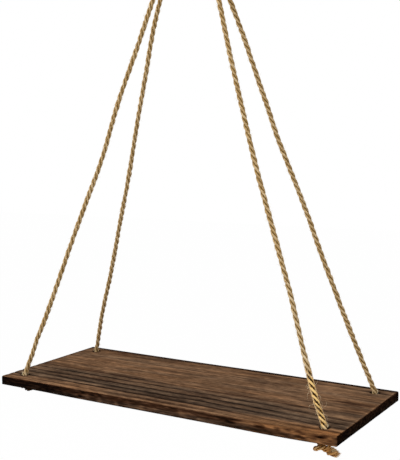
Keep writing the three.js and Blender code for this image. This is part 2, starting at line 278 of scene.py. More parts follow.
# %% Helpers for materials
mix_a, mix_b = 6, 7
colour_mix = {"output": 2, "data_type": "RGBA"}


def add_node(owner, kind, inputs=None, output=0, stops=(), **settings):
    """Adds a node and gives one of its outputs. Its inputs are numbers, hex colours or outputs."""
    node = owner.node_tree.nodes.new("ShaderNode" + kind)
    for name, value in settings.items():
        setattr(node, name, value)
    for name, value in (inputs or {}).items():
        if isinstance(value, bpy.types.NodeSocket):
            owner.node_tree.links.new(value, node.inputs[name])
        else:
            node.inputs[name].default_value = linear(value) if isinstance(value, str) else value
    while stops and len(node.color_ramp.elements) < len(stops):
        node.color_ramp.elements.new(0.5)
    for i, (place, hex_colour) in enumerate(stops):
        node.color_ramp.elements[i].position = place
        node.color_ramp.elements[i].color = linear(hex_colour)
    return node.outputs[output]


def new_material(name, **sockets):
    """A material with one Principled shader, whose constant sockets are set by name."""
    material = bpy.data.materials.new(name)
    material.use_nodes = True
    for socket, value in sockets.items():
        shader_of(material).inputs[socket.replace("_", " ")].default_value = value
    return material


def shader_of(material):
    return material.node_tree.nodes["Principled BSDF"]


def feed(material, **outputs):
    """Joins other nodes' outputs to the shader's sockets."""
    for socket, output in outputs.items():
        material.node_tree.links.new(output, shader_of(material).inputs[socket.replace("_", " ")])


# %% [markdown]
# ## Jute
# Jute is a bast fibre: long, flat, hairy and dull gold. It is spun into yarn and laid into rope,
# and nothing coats it, so it has no shine, only a faint sheen off its hairs. What makes it read as
# jute is streaks of pale and brown fibre that run along each strand. The dark of the grooves
# between
# strands is painted shade: the nearer a point is to the rope's middle, the darker its colour. The
# mesh tells the shader how far along and around the strand a point is, in millimetres, how near it
# is to the rope's outside, how bleached it is, and where the strands have opened.

# %% Make the jute finishes
fibre_width = 0.35  # mm; a real fibre is a tenth of this, drawn coarser so that it shows
fibre_length = 9  # mm


def jute(name, dark, middle, pale, groove, groove_side_shade, bleached):
    """Jute from dark to pale fibre. The two groove colours paint shade between strands, under the
    lit top.
    """
    material = new_material(
        name, Roughness=0.95, Specular_IOR_Level=0.02, Sheen_Weight=0.05, Sheen_Roughness=0.6
    )
    along, around, strand, crown, bleach, opened = (
        add_node(material, "Attribute", output="Fac", attribute_name=mark)
        for mark in ("along", "around", "strand", "crown", "bleach", "opened")
    )
    along = add_node(material, "Math", {0: along, 1: fibre_length}, operation="DIVIDE")
    around = add_node(material, "Math", {0: around, 1: fibre_width}, operation="DIVIDE")
    place = add_node(material, "CombineXYZ", {0: along, 1: around, 2: strand})
    wide = add_node(material, "VectorMath", {0: place, 1: (0.8, 0.1, 1)}, operation="MULTIPLY")
    fine_noise = {"Vector": place, "Scale": 1.0, "Detail": 3.0, "Roughness": 0.6}
    streaks = add_node(material, "TexNoise", fine_noise)
    patches = add_node(material, "TexNoise", {"Vector": wide, "Scale": 1.0, "Detail": 1.0})
    shade = add_node(material, "Math", {0: streaks, 1: 0.45}, operation="MULTIPLY")
    shade = {0: patches, 1: 0.55, 2: shade}
    shade = add_node(material, "Math", shade, operation="MULTIPLY_ADD")
    fibre_stops = ((0.38, dark), (0.5, middle), (0.6, pale))
    fibre = add_node(material, "ValToRGB", {"Fac": shade}, stops=fibre_stops)
    lit = {"Factor": bleach, mix_a: fibre, mix_b: bleached}
    lit = {"Factor": opened, mix_a: add_node(material, "Mix", lit, **colour_mix), mix_b: "#ffe3ae"}
    lit = add_node(material, "Mix", lit, blend_type="MULTIPLY", **colour_mix)
    # Painted shade: the groove colour darkens the strands' hollows, and more where they have
    # opened. The groove's side takes a painted half shade.
    deep = {"Factor": opened, mix_a: groove, mix_b: "#241400"}
    deep = add_node(material, "Mix", deep, **colour_mix)
    inner = {"Factor": opened, mix_a: groove_side_shade, mix_b: "#80560f"}
    inner = add_node(material, "Mix", inner, **colour_mix)
    out_of_groove = {0: crown, 1: 2.2}
    out_of_groove = add_node(material, "Math", out_of_groove, operation="MULTIPLY", use_clamp=True)
    low = {"Factor": out_of_groove, mix_a: deep, mix_b: inner}
    low = add_node(material, "Mix", low, **colour_mix)
    high = {0: crown, 1: 2.2, 2: -1.2}
    high = add_node(material, "Math", high, operation="MULTIPLY_ADD", use_clamp=True)
    colour = add_node(material, "Mix", {"Factor": high, mix_a: low, mix_b: lit}, **colour_mix)
    relief = {"Height": streaks, "Strength": 0.6, "Distance": 0.2 * MM}
    feed(material, Base_Color=colour, Normal=add_node(material, "Bump", relief))
    return material


jute_colours = {
    "laid_jute_rope": ("#98774b", "#c6a675", "#e6cea6", "#5a4420", "#a38149", "#fff1d0"),
    "spun_jute_twine": ("#94703f", "#c19d64", "#dfbf8a", "#4c3616", "#a07a3c", "#f4d79a"),
    "unlaid_jute_end": ("#935a22", "#d3964f", "#f0c588", "#3a220a", "#a86c26", "#fbdca6"),
    "loose_jute_fibre": ("#b89260", "#d8b47e", "#eccb98", "#b89260", "#b89260", "#fff2d0"),
}
laid_jute, twine_jute, end_jute, hair_jute = (
    jute(name, *colours) for name, colours in jute_colours.items()
)

# %% [markdown]
# ## A laid rope
# A rope could be a plain tube with a bump map, but its outline would be straight, and the eye knows
# a rope by its scalloped outline. So three strands are really laid round each other. They turn like
# the middle of the letter S. Each strand is itself a bundle of four yarns, which turn the other
# way, so that the fibres at the surface run nearly along the rope. Touching strands of one size
# have their middles 1.155 strand radii from the rope's middle, and the rope is 2.155 strand radii
# in radius.

# %% Lay strands along a line
strand_sides = 16
yarns_in_strand = 4
yarn_depth = 0.07  # share of a strand's radius
strand_packing = {2: (1.0, 2.0), 3: (1.155, 2.155)}  # the strands' offset and the rope's radius


def tube_faces(rings, sides, first=0):
    """Quads of a tube whose rings of points follow each other, with a cap on both ends."""
    ring, side = np.meshgrid(np.arange(rings - 1), np.arange(sides), indexing="ij")
    here = first + ring * sides + side
    beside = first + ring * sides + (side + 1) % sides
    quads = np.stack([here, beside, beside + sides, here + sides], axis=-1).reshape(-1, 4).tolist()
    last = first + (rings - 1) * sides
    return quads + [list(range(first + sides - 1, first - 1, -1)), list(range(last, last + sides))]


def lay_strands(middles, radius, lay, strands=3, parting=0.0, bleach=0.0, seed=1):
    """Points, faces and marks of strands laid round a line. The numbers may vary along it."""
    count = len(middles)
    varying = (radius, lay, parting, bleach)
    radius, lay, parting, bleach = (np.broadcast_to(values, count) for values in varying)
    _, sides, uprights = travelling_frames(middles)
    steps = np.linalg.norm(np.diff(middles, axis=0, prepend=middles[:1]), axis=1)
    along = np.cumsum(steps)
    turn = -np.cumsum(steps * 2 * math.pi / lay)
    round_strand = np.linspace(0, 2 * math.pi, strand_sides, endpoint=False)
    offset_share, radius_share = strand_packing[strands]
    points, faces = [], []
    marks = {"along": [], "around": [], "strand": [], "crown": [], "bleach": []}
    for strand in range(strands):
        angle = turn + strand * 2 * math.pi / strands
        out, aside = outward(sides, uprights, angle), outward(uprights, -sides, angle)
        uneven = (0.1 + 0.35 * parting) * soft_noise(along / (9 * MM), strand * 7.3, seed)
        strand_radius = radius / radius_share * (1 + uneven)
        middle = middles + out * (strand_radius * offset_share * (1 + parting))[:, None]
        yarn_turn = round_strand + radius_share * angle[:, None]
        yarn_swell = np.cos(yarns_in_strand * yarn_turn)
        reach = strand_radius[:, None] * (1 + yarn_depth * yarn_swell)
        ring = (
            middle[:, None]
            + out[:, None] * (reach * np.cos(round_strand))[..., None]
            + aside[:, None] * (reach * 1.05 * np.sin(round_strand))[..., None]
        )
        faces += tube_faces(count, strand_sides, first=len(points) * count * strand_sides)
        points.append(ring.reshape(-1, 3))
        from_middle = np.linalg.norm(ring - middles[:, None], axis=2) / radius[:, None]
        # How near the rope's outside a point is; the jute finish paints shade by it into the
        # hollows.
        marks["crown"].append(ramp(from_middle + 0.12 * yarn_swell, 0.45, 1.0))
        marks["along"].append(np.repeat(along / MM, strand_sides))
        marks["around"].append(yarn_turn * strand_radius[:, None] / MM)
        marks["strand"].append(np.full(count * strand_sides, seed * 3.7 + strand * 1.9))
        marks["bleach"].append(np.repeat(bleach, strand_sides))
    marks = {mark: np.concatenate([np.ravel(v) for v in values]) for mark, values in marks.items()}
    return np.vstack(points), faces, marks


# %% [markdown]
# ## The two ropes
# Both ropes are 5.5 mm, three-strand, with a long lay. The front run of the right rope has worked
# loose above its hole: its strands have parted and are pale on the outside, with painted shade in
# dark gold between them, and the same three strands take a shorter lay there.

# %% Make the ropes
rope_diameter = 5.5 * MM
rope_lay = 25 * MM
loose_lay = 22 * MM
loose_length = 58 * MM  # above the plank
loose_parting = 0.34
rubbed_height = (90 * MM, 170 * MM)  # above the loose part the rope is a little rubbed up to here

for seed, (side, middles) in enumerate(rope_middles.items(), start=11):
    height = middles[:, 2] - plank_top
    worn_run = (middles[:, 1] < 0) * (side == "right")
    loose = (1 - ramp(height, 0.7 * loose_length, loose_length)) * worn_run
    loose = loose * ramp(height, -6 * MM, 4 * MM)
    run = np.arange(len(middles)) * rope_step
    radius = rope_diameter / 2 * (1 + 0.05 * soft_noise(run / (13 * MM), 2.2, seed) - 0.1 * loose)
    lay = rope_lay + (loose_lay - rope_lay) * loose
    lay = lay * (1 + 0.16 * soft_noise(run / (35 * MM), 5.5, seed))
    rubbed = 0.2 * (1 - ramp(height, *rubbed_height)) * worn_run
    points, faces, marks = lay_strands(middles, radius, lay, 3, loose_parting * loose, rubbed, seed)
    opened = np.tile(np.repeat(loose, strand_sides), 3)
    marks["opened"] = opened
    pale = opened * 0.9 * ramp(marks["crown"], 0.7, 0.97)
    marks["bleach"] = np.clip(marks["bleach"] + pale, 0, 1)
    # Where the strands have opened, the painted shade between them reaches further up their sides.
    marks["crown"] = marks["crown"] ** (1 + 1.8 * opened)
    add_mesh(f"jute_rope_{side}", points, faces, laid_jute, "shelf", marks)
    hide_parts(f"rope_{side}")
    print(side, "rope points:", len(points))

# %% [markdown]
# ## The knots under the plank
# Each rope end is stopped by an overhand knot: the end goes round the rope once and down through
# its own loop. The knot is written in rope diameters as stations (turn, radius, height) round the
# loop's middle, and the same smooth curve joins them. The rope is pulled thinner where it is
# knotted. Its last centimetre has come unlaid, so the strands part and end in a brush of fibres.

# %% Stations of an overhand knot, in rope diameters
knot_rope = 4 * MM
knot_step = 0.5 * MM
heart_radius, heart_height = 0.69, 0.66
turn_radius, turn_height = 1.81, 0.44
fold_share, fold_ease, fold_inset, fold_turn = 0.42, 0.26, 0.12, 0.6
heart_shares = (0.2, 0.5, 0.8)
tail_reach = (0.25, 0.95, 1.7, 2.75)
tail_drop = (0.29, 0.44, 0.48, 0.53)
tail_droop = (0, 0.1, 0.45, 1.15)
tail_sweep = 0.05
holes = {  # mm from the middle of the plank
    "front_left": (-190, -67), "back_left": (-190, 67),
    "front_right": (190, -67), "back_right": (190, 67),
}
knot_forms = {
    # Turn and droop of the tail. How thin the rope was pulled, and how far the knot is pressed up.
    # Where it is pressed flat under the plank and how far it is pushed right, mm. How far its end
    # is untwisted. Fibres in its brush and the longest, mm. How lit its outside is, as painted
    # shade: at 0 the front left knot and its brush are painted dark, as in the plank's shade.
    "front_left": (1.8, 0.3, 0.86, 0.76, 5.3, 3.5, 0.5, 120, 1.8, 0.0),
    "back_left": (-0.5, 0.6, 1, 0.9, 99, 0, 0.7, 260, 6, 0.9),
    "front_right": (0.2, 1.0, 1, 1.0, 99, 0, 1.0, 520, 5.5, 0.9),
    "back_right": (1.6, 0.4, 1, 0.9, 99, 0, 0.7, 260, 6, 0.9),
}


def knot_stations(droop_share):
    """Turn, radius and height of each station, from the hole to the end of the tail."""
    middle = (heart_radius + turn_radius) / 2
    eased, folded = heart_height + fold_ease, heart_height + fold_share
    fold, full = fold_turn / 2, 3 * math.pi
    inner, outer = heart_radius + fold_inset, turn_radius - fold_inset
    first_pass = [(math.pi * s, heart_radius, heart_height * (1 - 2 * s)) for s in heart_shares]
    stations = [(0, heart_radius, folded + 0.5), (0, heart_radius, eased)] + first_pass
    stations += [(math.pi, inner, -eased), (math.pi + fold, middle, -folded)]
    stations.append((math.pi + 2 * fold, outer, -eased))
    for i in range(6):
        turn = math.pi + 0.9 + (full - math.pi - 1.8) * i / 5
        stations.append((turn, turn_radius, turn_height * (2 * i / 5 - 1)))
    stations += [(full - 2 * fold, outer, eased), (full - fold, middle, folded)]
    stations.append((full, inner, eased))
    stations += [(turn + full, radius, height) for turn, radius, height in first_pass]
    for i, (reach, drop, droop) in enumerate(zip(tail_reach, tail_drop, tail_droop), start=1):
        height = -heart_height - (drop + droop * droop_share)
        stations.append((full + math.pi + tail_sweep * i, heart_radius + reach, height))
    return np.array(stations)


def knot_middles(place, turn, droop_share, diameter):
    """The line along the middle of a knot's rope, in metres, from inside the hole."""
    turns, radii, heights = knot_stations(droop_share).T
    points = [radii * np.cos(turns) - heart_radius, radii * np.sin(turns), heights - heights[0]]
    points = np.vstack([(0, 0, 1.6), np.stack(points, axis=1)]) * diameter
    cos, sin = math.cos(turn), math.sin(turn)
    points = points @ np.array([[cos, sin, 0], [-sin, cos, 0], [0, 0, 1]])
    start = np.array([place[0] * MM, place[1] * MM, plank_low[2] - 0.3 * MM])
    return curve_through(points + start, knot_step)


# %% Fibres that have come loose
def drawn(random, low, high, count):
    """One random number for each fibre, shaped to multiply its row of points."""
    return random.uniform(low, high, count)[:, None, None]


def add_fibres(name, paths, thickness, bleach, seed, material=hair_jute, crown=1.0):
    """Adds fibres as thin three-sided tubes in one piece. bleach is how pale each is; crown below 1
    paints shade.
    """
    count, steps, _ = paths.shape
    tangents = unit(np.gradient(paths, axis=1))
    side = unit(np.cross(tangents, (0.53, -0.31, 0.79)))
    upright = np.cross(tangents, side)
    taper = np.interp(np.linspace(0, 1, steps), (0, 0.6, 1), (1, 0.85, 0.25))
    ring = outward(side[:, :, None], upright[:, :, None], np.array([0, 2, 4]) * math.pi / 3)
    points = (paths[:, :, None] + ring * (thickness / 2 * taper)[:, None, None]).reshape(-1, 3)
    faces = []
    for fibre in range(count):
        faces += tube_faces(steps, 3, first=fibre * steps * 3)
    tone = np.random.default_rng(seed).uniform(0, 40, count)
    marks = {
        "along": np.repeat(run_along(paths).ravel() / MM, 3),
        "around": np.repeat(tone, steps * 3),
        "strand": np.repeat(tone * 1.7, steps * 3),
        "crown": np.full(len(points), crown),
        "bleach": np.repeat(bleach, steps * 3),
    }
    piece = add_mesh(name, points, faces, material, "shelf", marks)
    return piece


# %% Make the knots and their frayed tails
knot_lay = 15 * MM
brush_thickness = 0.36 * MM
steps = np.linspace(0, 1, 7)[:, None]
on_rope = {"left": [], "right": []}  # the pieces that belong to each rope
for seed, (corner, form) in enumerate(knot_forms.items(), start=31):
    turn, droop_share, pull, pressed, flat, pushed, untwisted, fibres, longest, lit = form
    diameter = knot_rope * pull
    middles = knot_middles(holes[corner], turn, droop_share, diameter)
    under = middles[:, 2] < plank_low[2]
    middles[under, 2] = plank_low[2] + (middles[under, 2] - plank_low[2]) * pressed
    middles[:, 2] = np.maximum(middles[:, 2], plank_low[2] - flat * MM)
    middles += level_right * pushed * MM * ramp(plank_low[2] - middles[:, 2:], 0, 2 * MM)
    share = np.linspace(0, 1, len(middles))
    frayed = ramp(share, 0.76, 0.94)
    radius = diameter / 2 * (1.04 + (0.65 * frayed - 0.4 * ramp(share, 0.96, 1)) * untwisted)
    rubbed = np.clip(0.2 + 0.5 * soft_noise(share * 9, 1.1, seed), 0, 1)
    points, faces, marks = lay_strands(middles, radius, knot_lay, 3, 0.5 * frayed, rubbed, seed)
    # Painted shade: a knot that isn't lit gets the dark groove colour all over.
    marks["crown"] = marks["crown"] * lit
    knot = add_mesh(f"stopper_knot_{corner}", points, faces, end_jute, "shelf", marks)
    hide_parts(f"knot_{corner}")

    random = np.random.default_rng(seed)
    tangents, sides, uprights = travelling_frames(middles)
    start = len(middles) - 1 - random.integers(1, 20, fibres)
    angle = random.uniform(0, 2 * math.pi, fibres)
    out = outward(sides[start], uprights[start], angle)
    from_middle = random.uniform(0.1, 1, fibres) ** 0.5
    root = middles[start] + out * from_middle[:, None] * radius[start][:, None] * 1.15
    reach = drawn(random, 0.45, 1, fibres) * (1 - 0.45 * from_middle[:, None, None] ** 2)
    reach = reach * longest * MM
    spread = drawn(random, 0, 0.22, fibres)
    curl = drawn(random, -0.25, 0.25, fibres) * np.cross(tangents[start], out)[:, None]
    paths = root[:, None] + unit(tangents[start] * (1, 1, 0.35))[:, None] * reach * steps
    paths = paths + out[:, None] * reach * spread * steps**1.6 + curl * reach * steps**2
    clump = 0.9 * soft_noise(angle * 1.3, (len(middles) - start) / 7, seed)
    pale = random.uniform(0, 0.5, fibres) + clump + 0.4 * ramp(from_middle, 0.8, 1)
    pale = np.clip(pale, 0, 1)
    brush = add_fibres(f"frayed_end_{corner}", paths, brush_thickness, pale, seed, end_jute, lit)
    on_rope[corner.split("_")[1]] += [knot, brush]
    print(corner, "knot rope, mm:", round(length_of(middles) / MM))

# %% [markdown]
# ## The twine bindings
# Above the picture the two runs of each rope lie side by side and are bound with twine, so that the
# rope can't slide over the ring and tip the plank. The twine goes round both runs in a stadium
# shape, eight times. It is two-ply, so it is laid by the same function with two strands.


# %% Wind the twine
def compare(node, points):
    """Prints the box of a piece beside the box of the node that it replaces."""
    boxes = (points.min(axis=0), points.max(axis=0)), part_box(node)
    print(node, "here and in the CAD, mm:", (np.array(boxes) / MM).round(1).tolist())


twine = 2.2 * MM
twine_lay = 6.5 * MM
twine_turns = 8
twine_pitch = 2.7 * MM
twine_gap = 0.3 * MM
twine_points = 640
rope_pair = 6 * MM  # between the middles of the two runs
rope_lean = math.atan(190 / 550)
binding_reach = 58.6 * MM  # from the ring's middle, along the lean of the ropes
binding_bend = rope_diameter / 2 + twine_gap + twine / 2
half_turn = math.pi * binding_bend + rope_pair  # a straight and a bend
run = np.linspace(0, 2 * twine_turns * half_turn, twine_points)
halves, place = np.divmod(run + rope_pair / 2, half_turn)
bend = np.maximum(place - rope_pair, 0) / binding_bend
straight = np.minimum(place, rope_pair) - rope_pair / 2
stadium = np.stack([binding_bend * np.cos(bend), straight + binding_bend * np.sin(bend)])
stadium = stadium * (1 - 2 * (halves % 2))  # every second half turn is on the other side
winding = np.vstack([stadium, -run / (2 * half_turn) * twine_pitch]).T
for side, sign in (("left", -1), ("right", 1)):
    lean = -sign * rope_lean
    cos, sin = math.cos(lean), math.sin(lean)
    middles = winding @ np.array([[cos, 0, -sin], [0, 1, 0], [sin, 0, cos]])
    middles += (-binding_reach * sin, 0, ring_middle[2] - binding_reach * cos)
    points, faces, marks = lay_strands(middles, twine / 2, twine_lay, 2, 0, 0.1, 41 + sign)
    add_mesh(f"twine_{side}", points, faces, twine_jute, "shelf", marks)
    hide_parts(f"twine_binding_{side}")
    compare(f"twine_binding_{side}", points)

# %% [markdown]
# ## Loose fibres
# Jute is never clean. Short hairs stand out all along a rope, a pale tuft is rubbed up where the
# rope chafes on the rim of its hole, pale fibres lie along both sides of the loose run above the
# front right hole, and long strays curl off it. A real hair is under a tenth of a millimetre thick;
# these are drawn 0.15 to 0.4 mm so that they show.

# %% Hairs along the ropes
count = 1200
hair_longest = 6 * MM
hair_thickness = 0.16 * MM
bare_at_ring = 26 * MM  # nearer to the ring the hairs are rubbed off
steps = np.linspace(0, 1, 6)[:, None]
for seed, (side, middles) in enumerate(rope_middles.items(), start=61):
    random = np.random.default_rng(seed)
    tangents, sides, uprights = travelling_frames(middles)
    at = random.integers(2, len(middles) - 3, count)
    out = outward(sides[at], uprights[at], random.uniform(0, 2 * math.pi, count))
    along = tangents[at] * random.choice([-1, 1], count)[:, None]
    length = drawn(random, 0.35, 1, count) * hair_longest
    lift = drawn(random, 0.15, 0.6, count)
    curl = drawn(random, -0.5, 0.5, count)
    root = (middles[at] + out * (rope_diameter * 0.46))[:, None]
    paths = root + length * (along[:, None] * steps * 0.85 + out[:, None] * lift * steps**1.5)
    paths = paths + np.cross(tangents[at], out)[:, None] * length * curl * steps**2
    paths = paths[paths[..., 2].max(axis=1) < ring_middle[2] - bare_at_ring]
    pale = random.uniform(0, 0.8, len(paths))
    on_rope[side].append(add_fibres(f"rope_hairs_{side}", paths, hair_thickness, pale, 63))

# %% Tufts at the rims of the holes
count = 60
tuft_thickness = 0.22 * MM
for seed, (corner, (hole_x, hole_y)) in enumerate(holes.items(), start=64):
    random = np.random.default_rng(seed)
    angle = camera_yaw + random.normal(0, 0.45, count) + math.pi * random.integers(0, 2, count)
    out = outward(axes[0], axes[1], angle)
    root = out * rope_diameter * 0.42 + (hole_x * MM, hole_y * MM, plank_top)
    root[:, 2] += random.uniform(-0.5, 3.5, count) * MM
    length = drawn(random, 1, 2.8, count) * MM * (0.65 if hole_y > 0 else 1)
    rise = drawn(random, 0.2, 1.0, count) * steps - 0.5 * steps**2
    curl = drawn(random, -0.6, 0.6, count) * steps**2
    across = np.cross(axes[2], out)[:, None]
    paths = root[:, None] + length * (out[:, None] * steps * 0.8 + across * curl)
    paths = paths + length * rise * axes[2]
    pale = random.uniform(0.5, 1, count)
    tuft = add_fibres(f"rim_tuft_{corner}", paths, tuft_thickness, pale, seed)
    on_rope[corner.split("_")[1]].append(tuft)

# %% Fibres rubbed up along the loose run, at the two sides that the camera sees
front_run = rope_middles["right"][rope_middles["right"][:, 1] < -40 * MM]
front_height = front_run[:, 2] - plank_top


def at_height(height):
    """The number of the point of the front run that is this many millimetres above the plank."""
    return np.argmin(np.abs(front_height - height * MM))


random = np.random.default_rng(68)
count = 170
rubbed_up_to = 56  # mm above the plank
rubbed_thickness = 0.4 * MM
tangents, sides, uprights = travelling_frames(front_run)
at = random.integers(at_height(0), at_height(rubbed_up_to), count)
angle = np.arctan2(uprights[at] @ level_right, sides[at] @ level_right)
angle = angle + math.pi * random.integers(0, 2, count) + random.normal(0.12, 0.5, count)
steps = np.linspace(0, 1, 8)
length = random.uniform(4, 10, count)[:, None] * MM
step_at = at[:, None] + np.round(length * steps / rope_step).astype(int)
step_at = np.clip(step_at, 0, len(front_run) - 1)
turning = angle[:, None] + random.uniform(-0.4, 0.4, count)[:, None] * steps
out = outward(sides[step_at], uprights[step_at], turning)
swell = 0.98 + 0.16 * np.sin(steps * math.pi) * random.uniform(0, 1, count)[:, None]
paths = front_run[step_at] + out * (rope_diameter / 2 * swell)[..., None]
pale = random.uniform(0.7, 1, count)
rubbed_up = add_fibres("rubbed_up_fibres", paths, rubbed_thickness, pale, 69, end_jute)
on_rope["right"].append(rubbed_up)

# %% Strays above the front right hole
random = np.random.default_rng(71)
stray_thickness = 0.15 * MM
clump_height = 37  # mm above the plank
clump_count = 14
steps = np.linspace(0, 1, 10)[:, None]
strays = []
for height, side, length, bow in (  # height and length in mm, right or left, and how it bows down
    (17, 1, 11, -0.5), (21, -1, 13, 0.8), (25, 1, 9, 1.0), (30, 1, 8, 0.6), (33, -1, 7, 1.0),
    (12, 1, 8, 0.9), (9, -1, 5, 0.3), (14, -1, 4, 0.4), (38, 1, 5, -0.3), (5, 1, 5, 0.6),
):
    way = level_right * side + level_front * random.uniform(-0.3, 0.6)
    rise = random.uniform(-0.5, 0.9)
    path = front_run[at_height(height)] + way * 2.6 * MM
    path = path + way * length * MM * 0.45 * np.sin(steps * math.pi * 0.72)
    strays.append(path + axes[2] * length * MM * (rise * steps - bow * steps**2))
clump = front_run[at_height(clump_height)] - level_right * 2.9 * MM
for _ in range(clump_count):
    way = -level_right * random.uniform(0.2, 1) + level_front * random.uniform(-0.4, 0.7)
    way = unit(way + np.array([0, 0, random.uniform(-1, 1)]))
    turn = np.cross(way, level_front) * random.uniform(-1.2, 1.2)
    root = clump + random.normal(0, 0.7 * MM, 3)
    strays.append(root + random.uniform(1.5, 3.5) * MM * (way * steps + turn * steps**2))
pale = random.uniform(0.5, 1, len(strays))
stray_fibres = add_fibres("stray_fibres", np.array(strays), stray_thickness, pale, 72)
on_rope["right"].append(stray_fibres)

# %% [markdown]
# ## The plank
# The plank is a thin pine board that was scorched with a flame and then wire brushed. The flame
# darkens it all over. The brush takes the soft summer wood out between the hard winter rings, which
# leaves long ridges, and rubs the tops of the ridges back to warm brown. The relief is under half a
# millimetre deep, but light from the side shows it, so it is in the mesh. The plank is one closed
# mesh of three parts: a grid for the top and the bottom, with a collar round each hole, a rim that
# goes round the edges, and the four hole walls.

# %% The relief of the top, in millimetres
groove_stations = (-212, -60, 60, 107, 150, 212)  # along the plank
groove_lines = (  # how far each groove is from the middle at those stations, and how deep it is
    ((-14, -15.5, -15, -14, -17, -20), 0.5),
    ((-27, -28, -28.5, -29, -34, -38), 0.85),
    ((-41, -40, -41, -44, -47, -50), 1.0),
    ((-52, -53, -54, -56, -59, -62), 0.9),
    ((-65, -64, -66, -70, -73, -74), 1.0),
    ((-75, -76, -78, -81, -82, -82.5), 0.55),
)
last_line = -88.0
fine_slope = (0, 0, -0.5, -3, -6, -8)  # how far the fine lines are off their place at the stations
fine_lines = (  # shorter, thinner lines between them: place, depth, and where along x it is deepest
    (-20.5, 0.5, -90), (-23.5, 0.4, 60), (-32.5, 0.55, -20), (-36, 0.5, 130), (-44.5, 0.6, -130),
    (-48.5, 0.55, 20), (-57.5, 0.6, -60), (-61, 0.5, 90), (-69.5, 0.5, -150), (-72, 0.45, 40),
)
cup = 0.45  # the back right of the board has risen a little as it dried


def wander(x, row):
    """How far a grain line strays from its place, in millimetres."""
    return 0.9 * soft_noise(x / 61, row * 5.1, 51) + 0.35 * soft_noise(x / 17, row * 3.3, 52)


def grooves_and_crests(x, y):
    """Groove, the dark band along it, and ridge top, each from 0 to 1, at a place on the top."""
    groove, band, crest = np.zeros((3, *np.broadcast(x, y).shape))
    middles = []
    for i, (line, depth) in enumerate(groove_lines):
        middle = np.interp(x, groove_stations, line) + wander(x, i)
        middles.append(middle)
        width = 0.8 + 0.3 * soft_noise(x / 31, i * 2.7, 53)
        strength = depth * np.clip(0.7 + 0.75 * soft_noise(x / 27, i * 6.1, 54), 0.1, 1.2)
        groove = np.maximum(groove, strength * bell(y - middle, width))
        shifted = middle - 0.8 - 1.1 * soft_noise(x / 44, i * 4.9, 58)
        spread = 2.7 + 0.9 * soft_noise(x / 37, i * 8.3, 59)
        band = np.maximum(band, depth * bell(y - shifted, spread))
    for i, (place, depth, middle_x) in enumerate(fine_lines):
        middle = place + np.interp(x, groove_stations, fine_slope) + wander(x, 20 + i)
        here = depth * bell(x - middle_x, 75) + 0.25 * depth * soft_noise(x / 28, i * 3.9, 60)
        groove = np.maximum(groove, here * bell(y - middle, 0.55))
    for upper, lower in zip(middles, middles[1:] + [last_line]):
        share = np.clip((upper - y) / (upper - lower), 0, 1)
        crest = np.maximum(crest, np.sin(math.pi * share) * (share > 0) * (share < 1))
    return groove, band, crest


def top_relief(x, y):
    groove, band, crest = grooves_and_crests(x, y)
    ridged = ramp(-y, 10, 18)
    fine = soft_noise(x / 55, y / 1.3, 55) * 0.6 + soft_noise(x / 26, y / 0.65, 56) * 0.4
    height = -0.4 * groove + ridged * (0.18 * crest - 0.12 * band - 0.06)
    height = height + cup * ramp(y, 30, 85) * ramp(x, -80, 80)
    return height + fine * (0.02 + 0.06 * ridged) + 0.05 * soft_noise(x / 90, y / 9, 57)


def under_relief(x, y):
    """The bottom, whose front edge bellies down a little."""
    waves = 0.06 * soft_noise(x / 60, y / 1.6, 61) + 0.1 * soft_noise(x / 120, y / 6, 62)
    belly = 0.4 * ramp(x, -150, -110) * (1 - ramp(x, 160, 195)) + 0.3 * bell(x - 135, 35)
    return waves - belly * ramp(-y, 30, 85)


# %% Lay out the grid, with a collar round each hole
def quads_between(one, two, turned_over=False):
    """Quads between two loops of point numbers."""
    quads = zip(one, one[1:] + one[:1], two[1:] + two[:1], two)
    return [(b, a, d, c) if turned_over else (a, b, c, d) for a, b, c, d in quads]


half_length, half_width = plank_high[0] / MM, plank_high[1] / MM
thickness = (plank_high[2] - plank_low[2]) / MM
edge_round = 1.2
corner_round = 0.1  # the corners are nearly square
hole_radius = 4.5
hole_chamfer = 0.8
collar_half = (3, 11)  # cells on each side of a hole
collar_steps = 5
grid_counts = (169, 281)
columns, rows = (
    np.linspace(edge_round - half, half - edge_round, points)
    for half, points in zip((half_length, half_width), grid_counts)
)
grid_x, grid_y = np.meshgrid(columns, rows, indexing="ij")
# A square patch at each corner goes to a quarter disc
u = np.clip((np.abs(grid_x) - (columns[-1] - corner_round)) / corner_round, 0, 1)
v = np.clip((np.abs(grid_y) - (rows[-1] - corner_round)) / corner_round, 0, 1)
rounded_x = grid_x + np.sign(grid_x) * (corner_round * (u * np.sqrt(1 - v**2 / 2) - u))
rounded_y = grid_y + np.sign(grid_y) * (corner_round * (v * np.sqrt(1 - u**2 / 2) - v))
top_points = list(zip(rounded_x.ravel(), rounded_y.ravel()))
grid_ids = np.arange(grid_x.size).reshape(grid_x.shape)
top_quads = []
taken = np.zeros((len(columns) - 1, len(rows) - 1), bool)
hole_rims = []


def loop_round(c0, c1, r0, r1):
    """Columns and rows of the grid's points round a block, anticlockwise seen from above."""
    loop = [(c, r0) for c in range(c0, c1)] + [(c1, r) for r in range(r0, r1)]
    return loop + [(c, r1) for c in range(c1, c0, -1)] + [(c0, r) for r in range(r1, r0, -1)]


